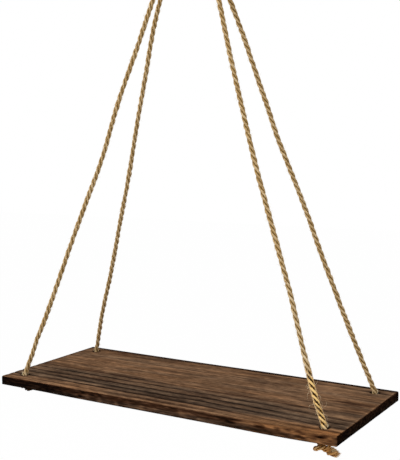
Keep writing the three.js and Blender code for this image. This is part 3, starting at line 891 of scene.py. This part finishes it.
for hole in holes.values():
    column, row = (int(np.argmin(np.abs(v - place))) for v, place in zip((columns, rows), hole))
    c0, c1 = column - collar_half[0], column + collar_half[0]
    r0, r1 = row - collar_half[1], row + collar_half[1]
    taken[c0:c1, r0:r1] = True
    loop = loop_round(c0, c1, r0, r1)
    outer = np.array([(columns[c], rows[r]) for c, r in loop])
    inner = hole + unit(outer - hole) * (hole_radius + hole_chamfer)
    rings = [[int(grid_ids[place]) for place in loop]]
    for step in range(1, collar_steps + 1):
        rings.append(list(range(len(top_points), len(top_points) + len(loop))))
        top_points += [tuple(point) for point in outer + (inner - outer) * step / collar_steps]
    for outside, inside in zip(rings, rings[1:]):
        top_quads += quads_between(outside, inside)
    hole_rims.append((hole, rings[-1]))
cell = ((0, 0), (1, 0), (1, 1), (0, 1))
for c, r in zip(*np.nonzero(~taken)):
    top_quads.append(tuple(int(grid_ids[c + i, r + j]) for i, j in cell))
top_xy = np.array(top_points)
print("points on the top:", len(top_xy))

# %% Close it with the rim and the hole walls
layers, parts = [], []


def add_points(xy, z, part):
    """Adds points of one part of the plank and returns their numbers."""
    layers.append(np.column_stack([xy, z]))
    parts.extend([part] * len(z))
    return list(range(len(parts) - len(z), len(parts)))


top_z = thickness + top_relief(*top_xy.T)
bottom_z = under_relief(*top_xy.T)
add_points(top_xy, top_z, "top")
below = add_points(top_xy, bottom_z, "bottom")
faces = top_quads + [tuple(below[i] for i in reversed(quad)) for quad in top_quads]

rim_ids = [int(grid_ids[place]) for place in loop_round(0, len(columns) - 1, 0, len(rows) - 1)]
rim_xy = top_xy[rim_ids]
along = unit(np.roll(rim_xy, -1, axis=0) - rim_xy)
out_after = np.stack([along[:, 1], -along[:, 0]], axis=1)
out_before = np.roll(out_after, 1, axis=0)
mitre = 1 + (out_after * out_before).sum(axis=1, keepdims=True)  # so that the corners stay square
rim_out = (out_after + out_before) / mitre
rim_run = run_along(rim_xy)
wear = 0.5 + 0.5 * soft_noise(rim_run / 23, 3.3, 71)
nick = ramp(soft_noise(rim_run / 7, 8.1, 72), 0.55, 0.95)
levels = 14
rounding = np.array([0.35, 0.7, 1.0]) * math.pi / 2
profile = [(math.sin(a), math.cos(a) - 1, 0.0) for a in rounding]  # out, up, and share down
profile += [(1.0, -1.0, share) for share in np.linspace(0, 1, levels)[1:-1]]
profile += [(math.sin(a), 1 - math.cos(a), 1.0) for a in rounding[::-1]]
previous = rim_ids
for out, up, level in profile:
    if level in (0, 1):
        z = (bottom_z if level else top_z)[rim_ids] + up * edge_round
    else:
        z = (top_z[rim_ids] - edge_round) * (1 - level) + (bottom_z[rim_ids] + edge_round) * level
    saw = 0.06 * soft_noise(rim_run / 30, z / 0.9, 73) + 0.05 * soft_noise(rim_run / 1.7, z / 4, 74)
    bite = 0.55 * nick * bell(thickness - z, 1.6) + 0.25 * wear * bell(thickness - z, 0.9)
    reach = out * (edge_round + saw) - bite
    ids = add_points(rim_xy + rim_out * reach[:, None], z - 0.35 * nick * (level == 0), "rim")
    faces += quads_between(previous, ids, turned_over=True)
    previous = ids
faces += quads_between(previous, [below[i] for i in rim_ids], turned_over=True)

for hole, rim in hole_rims:
    directions = unit(top_xy[rim] - hole)
    previous = rim
    for share in (0.0, 0.25, 0.5, 0.75, 1.0):
        height = (thickness - hole_chamfer) * (1 - share) + hole_chamfer * share
        reach = hole_radius + 0.08 * soft_noise(directions[:, :1] * 3, share * 9, 75)
        ids = add_points(hole + directions * reach, np.full(len(rim), height), "hole")
        faces += quads_between(previous, ids)
        previous = ids
    faces += quads_between(previous, [below[i] for i in rim])

plank_mm = np.vstack(layers)
parts = np.array(parts)
print("plank points and faces:", len(plank_mm), len(faces))

# %% [markdown]
# ## How dark the wood is, place by place
# The scorching isn't even, and it is what gives the plank its look. The back half is smooth and
# warm. The front half is ridged, dark in the grooves and brown on the crests. The front strip is
# worn the lightest. The edges were held in the flame: the ends and the left part of the front are
# almost black. Tone goes from 0, charcoal, to 1, wood that was rubbed back. Warmth goes from grey
# brown to orange, and the worn strip is a little ruddier at the right.


# %% Tone and warmth of every point
def spots(x, y, *table):
    """A sum of soft spots, each an amount, the middle's x and y, and the width both ways."""
    return sum(amount * bell(x - mx, wx) * bell(y - my, wy) for amount, mx, my, wx, wy in table)


def top_tone(x, y):
    groove, band, crest = grooves_and_crests(x, y)
    mottle = soft_noise(x / 19, y / 5, 80) * 0.6 + soft_noise(x / 7, y / 3.6, 77) * 0.6
    streak = soft_noise(x / 95, y / 3.4, 82) * 0.6 + soft_noise(x / 38, y / 1.7, 83) * 0.6
    uneven = 0.07 * soft_noise(x / 70, y / 14, 81) + 0.16 * streak + 0.13 * mottle
    smooth = 0.72 + uneven + 0.07 * ramp(x, 60, 100) - 0.07 * ramp(x, 165, 195)
    smooth = smooth - 0.1 * ramp(-y, 6, 13) * ramp(-x, 40, 120) + spots(
        x, y, (-0.08, -40, 32, 90, 9), (-0.2, 180, 16, 13, 7), (-0.12, 150, 2, 50, 4),
        (0.07, -110, 25, 60, 22),
    )
    calm = 1 - 0.35 * ramp(x, 90, 130)
    ridged = 0.57 + (0.18 * crest - 0.2 * band) * calm + uneven - 0.1 * bell(x - 10, 80)
    ridged = ridged + 0.05 * ramp(x, 120, 170) + 0.03 * ramp(-x, 140, 180)
    ridged = ridged - 0.06 * ramp(-y, 45, 50) * ramp(y, -70, -64)
    worn = 0.69 + uneven - 0.05 * bell(x + 5, 45) + 0.13 * ramp(x, -20, 100)
    worn = worn + 0.1 * crest - 0.14 * band - 0.04 * ramp(x, 110, 140)
    tone = smooth + (ridged - smooth) * ramp(-y, 13, 16)
    tone = tone + (worn - tone) * ramp(-y, 65, 70) - 0.36 * calm * np.clip(groove, 0, 1)
    right = ramp(x, 0, 80)
    scorched_edge = ramp(y + 0.9 * soft_noise(x / 24, 1.5, 78), 76.8, 79 - 0.8 * right)
    back_band = ramp(y, 62, 68) * (1 - scorched_edge)
    tone = tone - (0.42 + 0.16 * right) * scorched_edge - 0.07 * back_band
    from_line = y - 74.8 + 2 * ramp(x, 165, 190)  # a rubbed line along the back edge
    tone = tone + right * (0.15 * bell(from_line, 1.7) - 0.14 * bell(from_line + 6.6, 2))
    left_end = ramp(-x + 1.5 * soft_noise(y / 6, 2.5, 79), 205, 209)
    return tone - 0.25 * left_end + 0.14 * ramp(x, 206, 208)


front_stations = (-210, -150, -120, -95, -60, 0, 60, 95, 112, 150, 185, 210)
front_high = (0.02, 0.02, 0.08, 0.22, 0.2, 0.23, 0.28, 0.24, 0.58, 0.64, 0.6, 0.62)
front_low = (0.02, 0.04, 0.1, 0.28, 0.38, 0.38, 0.38, 0.22, 0.3, 0.36, 0.62, 0.7)


def front_tone(x, z):
    """Tone of the front face: almost black at the left, worn warm brown at the right."""
    streak = soft_noise(x / 45, z / 1.1, 84)
    patch = soft_noise(x / 22, z / 4.5, 85) * 0.5 + soft_noise(x / 5.5, z / 1.7, 90) * 0.8
    upper = ramp(z + 1.2 * soft_noise(x / 14, 4.4, 92), 3.8, 6.2)
    low, high = (np.interp(x, front_stations, tones) for tones in (front_low, front_high))
    tone = low + (high - low) * upper
    tone = tone + (0.03 + 0.35 * tone + 0.1 * bell(x + 85, 20)) * (streak + 1.4 * patch)
    return tone + spots(
        x, z, (0.2, 182, 6, 5, 3), (-0.5, 194, 7, 3, 1.8), (-0.3, 188, 6.2, 5, 1.2),
        (-0.12, 98, 5, 8, 6),
    )


def end_tone(x, y, z):
    rings = 0.1 * soft_noise(y / 5 + z / 9, z / 2.2, 86)
    specks = 0.08 * soft_noise(y / 4, z / 1.6, 94)
    return 0.01 + 0.05 * ramp(y, -60, -20) + rings + specks + 0.02 * (x <= 0)


x, y, z = plank_mm.T
is_top, is_rim, is_under = parts == "top", parts == "rim", parts == "bottom"
tone = top_tone(x, y)
under = 0.42 + 0.1 * soft_noise(x / 80, y / 7, 87) + 0.07 * soft_noise(x / 60, y / 1.8, 88)
tone[is_under] = under[is_under]
tone[parts == "hole"] = 0.12

rim_x, rim_y, rim_z = plank_mm[is_rim].T
on_long_side = np.tile(np.abs(rim_out[:, 1]) > 0.7, len(profile))
back_tone = 0.12 + 0.05 * soft_noise(rim_x / 40, rim_z / 2, 89)
rim_tone = np.where(rim_y < 0, front_tone(rim_x, rim_z), back_tone)
rim_tone = np.where(on_long_side, rim_tone, end_tone(rim_x, rim_y, rim_z))
front_rim = rim_y < -half_width + 3
right_rim = (rim_x > half_length - 2) * ramp(-rim_y, -60, 0)
edge_tone = np.tile(0.15 + 0.3 * wear, len(profile)) + 0.35 * front_rim
edge_tone = edge_tone - 0.3 * (rim_y > half_width - 3) + 0.4 * right_rim * (1 - front_rim)
top_of_rim = ramp(rim_z, thickness - 0.9, thickness - 0.1)
tone[is_rim] = rim_tone + (edge_tone - rim_tone) * top_of_rim
for hole_x, hole_y in holes.values():
    from_hole = np.hypot(x - hole_x, y - hole_y)
    tone = tone - is_top * 0.35 * (1 - ramp(from_hole, hole_radius, hole_radius + 2.6))
tone = np.clip(tone, 0, 1)

warmth = 0.55 + 0.3 * soft_noise(x / 50, y / 8, 91) + 0.4 * ramp(x, 150, 200) * ramp(-y, 60, 75)
warmth = warmth - 0.25 * (ramp(-y, 13, 18) + ramp(-y, 36, 42)) * ramp(y, -70, -64)
front_warmth = 0.45 + 0.5 * ramp(z, 3.8, 6.2) + 0.5 * ramp(x, 165, 185)
front_warmth = front_warmth + 0.2 * soft_noise(x / 12, z / 3, 93)
front_warmth = front_warmth - (np.abs(x) > half_length - 0.6) * 0.8
warmth = np.clip(np.where(is_rim, front_warmth, warmth), 0, 1)
ruddy = ramp(x, 80, 150) * ramp(-y, 66, 76) * (1 - is_under)
print("tone from", tone.min().round(2), "to", tone.max().round(2))

# %% [markdown]
# ## Scorched and brushed pine
# Wood that was burnt and brushed is dull: the char scatters light, and the dry ridges have no
# shine. Pine's year rings are 1 to 4 mm apart. The fine grain inside them is drawn about 0.6 mm
# wide and 40 mm long, which is coarser than real wood fibre, so that it still shows.

# %% Make the wood finish
grain_length, grain_width = 42, 0.62  # mm
tone_stops = (0.0, 0.3, 0.5, 0.7, 0.85, 1.0)
cool_colours = ("#0a0706", "#30261e", "#48392e", "#64503f", "#7b6450", "#937a60")
warm_colours = ("#0f0806", "#382215", "#543928", "#735339", "#8f6748", "#ac7c55")

grain_patterns = (  # flecks, wide grain and fine grain: stretch, detail, and share in the tone
    ((5.5, 0.42, 0.42), 2.0, 0.6), ((1.6, 0.32, 0.32), 3.0, 0.5), ((1, 1, 1), 3.0, 0.4),
)

pine = new_material("scorched_brushed_pine", Specular_IOR_Level=0.0)
tone_mark, warmth_mark, ruddy_mark = (
    add_node(pine, "Attribute", output="Fac", attribute_name=mark)
    for mark in ("tone", "warmth", "ruddy")
)
place = add_node(pine, "TexCoord", output="Object")
stretch = [1 / (size * MM) for size in (grain_length, grain_width, grain_width)]
place = add_node(pine, "VectorMath", {0: place, 1: stretch}, operation="MULTIPLY")
grain = -0.75
for stretch, detail, share in grain_patterns:
    stretched = add_node(pine, "VectorMath", {0: place, 1: stretch}, operation="MULTIPLY")
    pattern = add_node(pine, "TexNoise", {"Vector": stretched, "Scale": 1.0, "Detail": detail})
    grain = add_node(pine, "Math", {0: pattern, 1: share, 2: grain}, operation="MULTIPLY_ADD")
tone_here = add_node(pine, "Math", {0: tone_mark, 1: grain}, operation="ADD", use_clamp=True)
cool, warm = (
    add_node(pine, "ValToRGB", {"Fac": tone_here}, stops=tuple(zip(tone_stops, colours)))
    for colours in (cool_colours, warm_colours)
)
wood_colour = {"Factor": warmth_mark, mix_a: cool, mix_b: warm}
wood_colour = add_node(pine, "Mix", wood_colour, **colour_mix)
wood_colour = {"Factor": ruddy_mark, mix_a: wood_colour, mix_b: "#fff2df"}
wood_colour = add_node(pine, "Mix", wood_colour, blend_type="MULTIPLY", **colour_mix)
dullness = add_node(pine, "Math", {0: tone_here, 1: -0.22, 2: 0.8}, operation="MULTIPLY_ADD")
relief = add_node(pine, "Bump", {"Height": pattern, "Strength": 0.5, "Distance": 0.25 * MM})
feed(pine, Base_Color=wood_colour, Roughness=dullness, Normal=relief)

marks = {"tone": tone, "warmth": warmth, "ruddy": ruddy}
plank_points = plank_mm * MM + (0, 0, plank_low[2])
plank = add_mesh("scorched_plank", plank_points, faces, pine, "shelf", marks)
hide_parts("shelf_board")

# %% [markdown]
# ## Zinc-plated steel
# The ring, the hook and its plate are steel with a thin coat of zinc. Zinc is a soft blue-grey
# metal: bright, but not a mirror, and it is a little uneven where the plating crystals lie
# differently. A weld burns the coat off and leaves a brown seam.

# %% Make the steel finish
crystal_size, cloud_size, dimple_size = 2.2 * MM, 9 * MM, 1.1 * MM
zinc = new_material("zinc_plated_steel", Metallic=1.0)
seam_mark = add_node(zinc, "Attribute", output="Fac", attribute_name="seam")
place = add_node(zinc, "TexCoord", output="Object")
crystals = add_node(zinc, "TexVoronoi", {"Vector": place, "Scale": 1 / crystal_size})
clouds = add_node(zinc, "TexNoise", {"Vector": place, "Scale": 1 / cloud_size, "Detail": 3.0})
clouds = add_node(zinc, "Math", {0: clouds, 1: 0.8}, operation="MULTIPLY")
zinc_tone = add_node(zinc, "Math", {0: crystals, 1: 0.3, 2: clouds}, operation="MULTIPLY_ADD")
zinc_stops = ((0.3, "#74787b"), (0.8, "#a3a6a7"))
zinc_colour = add_node(zinc, "ValToRGB", {"Fac": zinc_tone}, stops=zinc_stops)
zinc_colour = {"Factor": seam_mark, mix_a: zinc_colour, mix_b: "#5b5650"}
zinc_colour = add_node(zinc, "Mix", zinc_colour, **colour_mix)
dullness = add_node(zinc, "Math", {0: zinc_tone, 1: 0.25, 2: 0.26}, operation="MULTIPLY_ADD")
dimples = add_node(zinc, "TexNoise", {"Vector": place, "Scale": 1 / dimple_size, "Detail": 2.0})
dimples = add_node(zinc, "Bump", {"Height": dimples, "Strength": 0.25, "Distance": 0.08 * MM})
feed(zinc, Base_Color=zinc_colour, Roughness=dullness, Normal=dimples)

# %% [markdown]
# ## Ring, hook and plate
# The ring is 5 mm wire bent round and welded shut, so it has a low bead where its ends meet. The
# hook is the same wire: its shank swings out to the back, goes round under the seat and ends in a
# tip that was rounded off, and its top is welded to the plate. A torus from the menu would have no
# weld, so both are swept as round rods whose radius changes along them. The plate is plain turned
# sheet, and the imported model's own mesh has its holes and its rounded rim, so it only gets the
# finish.

# %% Sweep the ring and the hook
wire_radius = 2.5 * MM
rod_sides = 28
ring_steps = 144
weld_turn = math.radians(152)
hook_step = 0.4 * MM


def rod_points(middles, outs, asides, radii):
    """Rings of points round a line, given two directions across it at each point."""
    turns = np.linspace(0, 2 * math.pi, rod_sides, endpoint=False)
    ring = outward(outs[:, None], asides[:, None], turns)
    return (middles[:, None] + ring * radii[:, None, None]).reshape(-1, 3)


ring_radius = (ring_high[0] - ring_low[0]) / 2 - wire_radius
ring_turns = np.linspace(0, 2 * math.pi, ring_steps, endpoint=False)
ring_outs = outward(axes[0], axes[2], ring_turns)
from_weld = (ring_turns - weld_turn) * ring_radius / MM
bead = bell(from_weld, 1.3)
ring_radii = wire_radius * (1 + 0.1 * bead - 0.04 * bell(np.abs(from_weld) - 2.6, 0.5))
points = rod_points(ring_middle + ring_outs * ring_radius, ring_outs, axes[1:2], ring_radii)
last_loop = list(range((ring_steps - 1) * rod_sides, ring_steps * rod_sides))
ring_faces = tube_faces(ring_steps, rod_sides)[:-2]
ring_faces += quads_between(last_loop, list(range(rod_sides)))
seam = {"seam": np.repeat(0.7 * bead, rod_sides)}
welded_ring = add_mesh("welded_ring", points, ring_faces, zinc, "ring", seam)
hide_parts("steel_ring")
compare("steel_ring", points)

hook_bend = 12
hook_centre = -45 + hook_bend
hook_round = np.radians(45 - 25 * np.arange(11))
hook_swing = [(0, 1.75), (0.17, 1.36), (0.42, 1.01)]  # out from the shank, in hook bends
hook_swing += [(math.cos(turn), math.sin(turn)) for turn in hook_round]
hook_line = [(0, 0, -2.9), (0, 0, -7.6)]
hook_line += [(0, hook_bend * y, hook_centre + hook_bend * z) for y, z in hook_swing]
hook_middles = curve_through(np.array(hook_line) * MM, hook_step)
along = np.linspace(0, length_of(hook_middles), len(hook_middles)) / MM
tip = np.clip(1 - (along[-1] - along) / 2, 0, 0.999)
hook_radii = wire_radius * np.sqrt(1 - tip**2) + 1.5 * MM * np.exp(-along / 0.7)
points = rod_points(hook_middles, *travelling_frames(hook_middles)[1:], hook_radii)
hook_faces = tube_faces(len(hook_middles), rod_sides)
seam = {"seam": np.repeat(0.8 * bell(along, 1.6), rod_sides)}
bent_hook = add_mesh("bent_hook", points, hook_faces, zinc, "ceiling_fixing", seam)
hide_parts("ceiling_hook")
compare("ceiling_hook", points)
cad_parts["ceiling_plate"].data.materials.clear()
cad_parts["ceiling_plate"].data.materials.append(zinc)

# %% [markdown]
# ## The stage
# The shelf hangs over a plain white floor, about as high above it as in a room. The floor and the
# world are white to the camera and to reflections, and the floor keeps a soft shadow. A large soft
# lamp at the upper left front gives the rope its bright side, and a weaker one fills from the
# right.


# %% Floor, world and lamps
def seen_straight(owner):
    """1 for what the camera sees, also in a reflection, and 0 for light on other things."""
    camera_ray = add_node(owner, "LightPath", output="Is Camera Ray")
    glossy_ray = add_node(owner, "LightPath", output="Is Glossy Ray")
    return add_node(owner, "Math", {0: camera_ray, 1: glossy_ray}, operation="MAXIMUM")


floor_z = plank_low[2] - 1100 * MM
floor_half = 12.0
white_floor = new_material("white_floor", Base_Color=linear("#fafafa"), Roughness=0.9)
glow = add_node(white_floor, "Emission", {"Color": "#ffffff", "Strength": 1.03})
share = {0: seen_straight(white_floor), 1: 0.93}
share = add_node(white_floor, "Math", share, operation="MULTIPLY")
veil = {0: share, 1: shader_of(white_floor).outputs[0], 2: glow}
veil = add_node(white_floor, "MixShader", veil)
surface = white_floor.node_tree.nodes["Material Output"].inputs["Surface"]
white_floor.node_tree.links.new(veil, surface)
floor_mesh = bpy.data.meshes.new("floor")
square = ((-1, -1), (1, -1), (1, 1), (-1, 1))
corners = [(x * floor_half, y * floor_half, floor_z) for x, y in square]
floor_mesh.from_pydata(corners, [], [(0, 1, 2, 3)])
floor_mesh.materials.append(white_floor)
floor = bpy.data.objects.new("floor", floor_mesh)
bpy.context.scene.collection.objects.link(floor)

world = bpy.data.worlds.new("studio")
world.use_nodes = True
bpy.context.scene.world = world
background = world.node_tree.nodes["Background"]
background.inputs["Color"].default_value = linear("#ffffff")
inputs = {"Value": seen_straight(world), "To Min": 0.5, "To Max": 1.0}
level = add_node(world, "MapRange", inputs)
world.node_tree.links.new(level, background.inputs["Strength"])

lamp_aim = Vector((0, 0, -0.45))
lamps = (("key_lamp", (-0.9, -1.4, 0.9), 1.0, 26), ("fill_lamp", (1.8, -0.9, 0.2), 1.4, 8))
for name, place, size, power in lamps:
    data = bpy.data.lights.new(name, "AREA")
    data.size = size
    data.energy = power
    lamp = bpy.data.objects.new(name, data)
    lamp.location = place
    lamp.rotation_euler = (lamp_aim - lamp.location).to_track_quat("-Z", "Y").to_euler()
    bpy.context.scene.collection.objects.link(lamp)
bpy.context.scene.view_settings.view_transform = "Standard"
